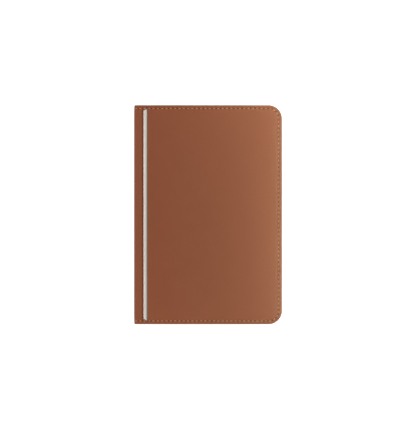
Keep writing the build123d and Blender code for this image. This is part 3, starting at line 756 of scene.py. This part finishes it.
# ---- The folio's leather: band, spine and back ----
GROOVE_STEPS = (-1.2, -0.6, -0.45, -0.3, -0.15, 0.0, 0.08, 0.15, 0.3, 0.45, 0.6, 0.8, 1.1)
BEND_STEP, BEND_STEPS = 0.28, 60  # cuts round the spine
BACK_STEP, BACK_STEPS = 0.5, 7  # cuts where the back begins
wrap_station, wrap_length, wrap_back_start = wrap_path()
wrap_holes = hole_places(wrap_length, WRAP_FIRST_HOLE)
groove_at = BAND_RIGHT - GROOVE_LEFT
bend_at = BAND_RIGHT - FOLIO_LOW.x - SPINE_R
wrap_steps = SHOULDER_STEPS + [groove_at + d for d in GROOVE_STEPS]
wrap_steps += [wrap_back_start + BACK_STEP * k for k in range(BACK_STEPS)]
wrap_steps += [bend_at + BEND_STEP * k for k in range(BEND_STEPS)]
wrap_places = sample_places(wrap_length, wrap_holes, wrap_steps)
wrap_flat = bisect_right(wrap_places, wrap_back_start + LEAN_LENGTH)


def wrap_row_start(station):
    """Where the rows beyond the stitches begin: at the recess's end on the band, else at the panel."""
    on_band = station.rim.z > FOLIO_T - NEAR
    return recess_end(station.rim.x) if on_band else STITCH_INSET + PANEL_START


wrap_skin = shell("folio_leather_skin", LEATHER_MAT, [wrap_station(s) for s in wrap_places],
                  leather_profile(wrap_holes, wrap_relief, wrap_row_start), wrap_flat)
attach(wrap_skin, "folio")
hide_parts("folio_leather")

# ---- The front cover's lining ----
LINING_EDGE = ((0.0, LINING), (0.0, 0.2), (0.06, 0.08), (0.2, 0.02))  # its soft edge: inset and depth
LINING_CUTS = (-1.6, *HOLE_CUTS, 1.6, 3)  # from the stitch line, in half-widths of a hole
# How far, and how strongly, painted shade darkens round the lining's needle holes.
LINING_HOLE_REACH = 1.3
LINING_HOLE_SHADE = 0.7
LINING_HOLE_DEPTH = 0.6  # over a hole's depth in the leather
LINING_THREAD_RISE = 0.02
LINING_MARGIN = 0.5  # no hole lies nearer to the lining's left edge
lining_line = STITCH_INSET - LINING_INSET
lining_path, lining_length = corner_path(
    LINING_LEFT, LINING_Z, Vector((0, 0, LINING)), CORNER_R - LINING_INSET, lining_line,
    COVER_HIGH.x - LINING_INSET)
lining_holes = [h - LINING_SETBACK for h in cover_holes if h - LINING_SETBACK > LINING_MARGIN]
lining_places = sample_places(lining_length, lining_holes, [LINING_MARGIN, 2 * LINING_MARGIN])


def lining_profile(station):
    """A sheet of microfibre with a soft edge, a stitch channel and its needle holes."""
    gap = nearest_gap(station.along, lining_holes) / HOLE_ALONG
    hole_shade_mark = LINING_HOLE_SHADE * smooth(LINING_HOLE_REACH - gap)
    points = [(station.at(inset, depth), 0.0, 0.0) for inset, depth in LINING_EDGE]
    for f in LINING_CUTS:
        inset = lining_line + HOLE_ACROSS * f
        depth = channel_relief(inset, lining_line)
        depth += LINING_HOLE_DEPTH * hole_relief(station.along, inset, lining_line, lining_holes)
        near = smooth(HOLE_REACH - abs(f))
        points.append((station.at(inset, depth), 0.0, hole_shade_mark * near))
    return points


cover_lining_panel = shell("cover_lining_panel", LINING_MAT, [lining_path(s) for s in lining_places],
                           lining_profile, 0)
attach(cover_lining_panel, "front_cover")
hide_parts("cover_lining")

# ---- Both bodies' stitching ----
bm = bmesh.new()
stitches(bm, cover_path, [FIRST_STITCH] + cover_holes[1:], STITCH_INSET)
stitches(bm, lining_path, lining_holes, lining_line, LINING_THREAD_RISE)
cover_stitching = mesh_object("cover_stitching", bm, THREAD_MAT)
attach(cover_stitching, "front_cover")
bm = bmesh.new()
stitches(bm, wrap_station, [FIRST_STITCH] + wrap_holes[1:], STITCH_INSET)
folio_stitching = mesh_object("folio_stitching", bm, THREAD_MAT)
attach(folio_stitching, "folio")

# ---- The fold's outer strip and lining ----
STRIP_ROUND = 0.35  # length over which a strip's ends thin out
STRIP_THIN = 0.35
STRIP_END_CUTS = (0, 0.12, 0.35, 2.2, 2.9, 3.6, 4.3, 5.0)
STRIP_PARTS = 8  # for each half
# Painted shade along a strip's ends, where the slit lies in shadow: over what length, and how gradually it
# fades.
END_SHADE_LENGTH = 4.6
END_SHADE_RAMP = 2.2


def strip(name, material, outline, half_length, end_shade=0.0):
    """A closed strip along Y from an outline of (x, z) points, its ends a little rounded and darkened with
    painted shade.
    """
    bm = bmesh.new()
    painted_shade = bm.verts.layers.float.new("painted_shade")
    rows = []
    middle_z = sum(z for _, z in outline) / len(outline)
    end_cuts = [d - half_length for d in STRIP_END_CUTS]
    middle_cuts = [half_length * k / STRIP_PARTS for k in range(1 - STRIP_PARTS, STRIP_PARTS)]
    for y in end_cuts + middle_cuts + [-c for c in reversed(end_cuts)]:
        from_end = half_length - abs(y)
        shrink = 1 - STRIP_THIN * max(0.0, 1 - from_end / STRIP_ROUND) ** 2
        rows.append([bm.verts.new((x, y, middle_z + (z - middle_z) * shrink)) for x, z in outline])
        for vert in rows[-1]:
            vert[painted_shade] = end_shade * smooth((END_SHADE_LENGTH - from_end) / END_SHADE_RAMP)
    count = len(outline)
    for a, b in zip(rows, rows[1:]):
        for i in range(count):
            j = (i + 1) % count
            bm.faces.new((a[i], a[j], b[j], b[i]))
    bm.faces.new(rows[0])
    bm.faces.new(rows[-1][::-1])
    return mesh_object(name, bm, material)


def fold_outline(outer, inner):
    """A band between two lines of (x, depth) points, both running left to right."""
    return ([(x, FOLIO_T - depth) for x, depth in outer]
            + [(x, FOLIO_T - depth) for x, depth in reversed(inner)])


crease_left, crease_right = BAND_RIGHT - CREASE_LAP, COVER_LEFT + CREASE_LAP
crease_outer = []
for k in range(CREASE_STEPS + 1):
    t = k / CREASE_STEPS
    x = crease_left + (crease_right - crease_left) * t
    sag = CREASE_SAG * math.sin(math.pi * t)
    crease_outer.append((x, SLIT_DEPTH - CREASE_RISE * t + sag))
crease_inner = [(x, depth + CREASE_T) for x, depth in crease_outer]
crease_skin = strip("crease_skin", FOLD_MAT, fold_outline(crease_outer, crease_inner), TOP_Y - CREASE_LAP,
                    CREASE_END_SHADE)
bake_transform(crease_skin)
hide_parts("crease_hinge")

# Steps of the fold's lining, as (x, depth). Depths are from the cover's inner face. The first row's x
# is from the band's edge, and the second row's from the left edge of the cover's own lining.
BAND_STEPS = ((-1.6, -0.02), (-0.8, 0.01), (-0.25, 0.0), (-0.02, -0.12), (0.06, -0.35), (0.08, -0.6),
              (0.14, -0.8))
COVER_STEPS = ((-0.35, -0.86), (-0.14, -0.75), (-0.04, -0.5), (0.02, -0.22), (0.14, -0.04), (0.4, 0.0))
BEND_DEPTH = -0.88
BEND_SAG = 0.03
BEND_PARTS = 8
BEND_PAST = 0.5


def fold_lining():
    """The lining's way from the band, up under the fold and down to the cover's own lining."""
    route = [(BAND_RIGHT + x, COVER_T + depth) for x, depth in BAND_STEPS]
    bend_left = route[-1][0]
    for k in range(BEND_PARTS + 1):
        t = k / BEND_PARTS
        sag = BEND_SAG * math.sin(math.pi * t)
        route.append((bend_left + (COVER_LEFT - bend_left) * t, COVER_T + BEND_DEPTH - sag))
    route.append((COVER_LEFT + BEND_PAST, COVER_T + BEND_DEPTH))
    route += [(LINING_LEFT + x, COVER_T + depth) for x, depth in COVER_STEPS]
    upper = []
    for i, (x, depth) in enumerate(route):
        ax, ad = route[max(0, i - 1)]
        bx, bd = route[min(len(route) - 1, i + 1)]
        share = FOLD_LINING_T / math.hypot(bx - ax, bd - ad)
        upper.append((x + share * (bd - ad), depth - share * (bx - ax)))
    return fold_outline(upper, route)


crease_lining = strip("crease_lining", LINING_MAT, fold_lining(), TOP_Y - LINING_INSET)
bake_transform(crease_lining)

# ---- Floor, light and camera ----
FLOOR_HALF = 4000
FLOOR_Z = -0.05
pale_floor = Finish("pale_floor").set(
    Base_Color=(0.45, 0.45, 0.45), Roughness=0.9, Specular_IOR_Level=0.05,
    Emission_Color=(1.0, 1.0, 1.0), Emission_Strength=0.72).material
bm = bmesh.new()
bmesh.ops.create_grid(bm, x_segments=1, y_segments=1, size=FLOOR_HALF)
for vert in bm.verts:
    vert.co.z = FLOOR_Z
floor = mesh_object("floor", bm, pale_floor, smooth_faces=False)


def area_light(name, place, aim, size, watts):
    """A soft rectangular light at one place that faces another. The second of its sizes is along Y."""
    data = bpy.data.lights.new(name, "AREA")
    data.shape = "RECTANGLE"
    data.size, data.size_y = size[0] * MM, size[1] * MM
    data.energy = watts
    light = bpy.data.objects.new(name, data)
    bpy.context.scene.collection.objects.link(light)
    back = (Vector(place) - Vector(aim)).normalized()
    length = Vector((0, 1, 0)) - back * back.y
    turn = Matrix((length.cross(back).normalized(), length.normalized(), back)).transposed()
    light.matrix_world = Matrix.LocRotScale(Vector(place) * MM, turn, None)
    light.visible_camera = False


DOME_LOW, DOME_HIGH = (0.84, 0.85, 0.85), (1.14, 1.13, 1.11)
DOME_WAY = (-0.3, 0.35, 0.0)


def studio_world():
    """A pale dome: brighter and warmer towards the upper left, darker and cooler at the lower right."""
    made = bpy.data.worlds.new("studio")
    made.use_nodes = True
    tree = made.node_tree
    way = tree.nodes.new("ShaderNodeTexCoord").outputs["Generated"]
    side = tree.nodes.new("ShaderNodeVectorMath")
    side.operation = "DOT_PRODUCT"
    side.inputs[1].default_value = DOME_WAY
    ramp = tree.nodes.new("ShaderNodeMapRange")
    ramp.inputs["From Min"].default_value = -1
    tint = tree.nodes.new("ShaderNodeMix")
    tint.data_type = "RGBA"
    cool, warm = [socket for socket in tint.inputs if socket.type == "RGBA"]
    cool.default_value = (*DOME_LOW, 1)
    warm.default_value = (*DOME_HIGH, 1)
    tree.links.new(way, side.inputs[0])
    tree.links.new(side.outputs["Value"], ramp.inputs["Value"])
    tree.links.new(ramp.outputs["Result"], tint.inputs[0])
    result = next(socket for socket in tint.outputs if socket.type == "RGBA")
    tree.links.new(result, tree.nodes["Background"].inputs["Color"])
    return made


bpy.context.scene.world = studio_world()
area_light("key", (-560, 60, 700), (0, 0, 0), (420, 420), 3.1)
area_light("side", (92, -10, 86), (128, -10, 15), (20, 250), 0.245)
area_light("upper", (70, 170, 80), (20, 20, 15), (60, 60), 0.135)
area_light("lower", (-36, -170, 80), (-18, -20, 15), (60, 60), 0.051)

LENS, SENSOR = 100.0, 36.0
VIEW_SIZE = 329.7  # the longer side of what the camera takes in at the cover's face
VIEW_Y = -1.75
camera_data = bpy.data.cameras.new("camera")
camera_data.lens = LENS
camera_data.sensor_width = SENSOR
camera = bpy.data.objects.new("camera", camera_data)
bpy.context.scene.collection.objects.link(camera)
camera.location = Vector((0.0, VIEW_Y, FOLIO_T + VIEW_SIZE * LENS / SENSOR)) * MM
bpy.context.scene.camera = camera
bpy.context.scene.view_settings.view_transform = "Standard"
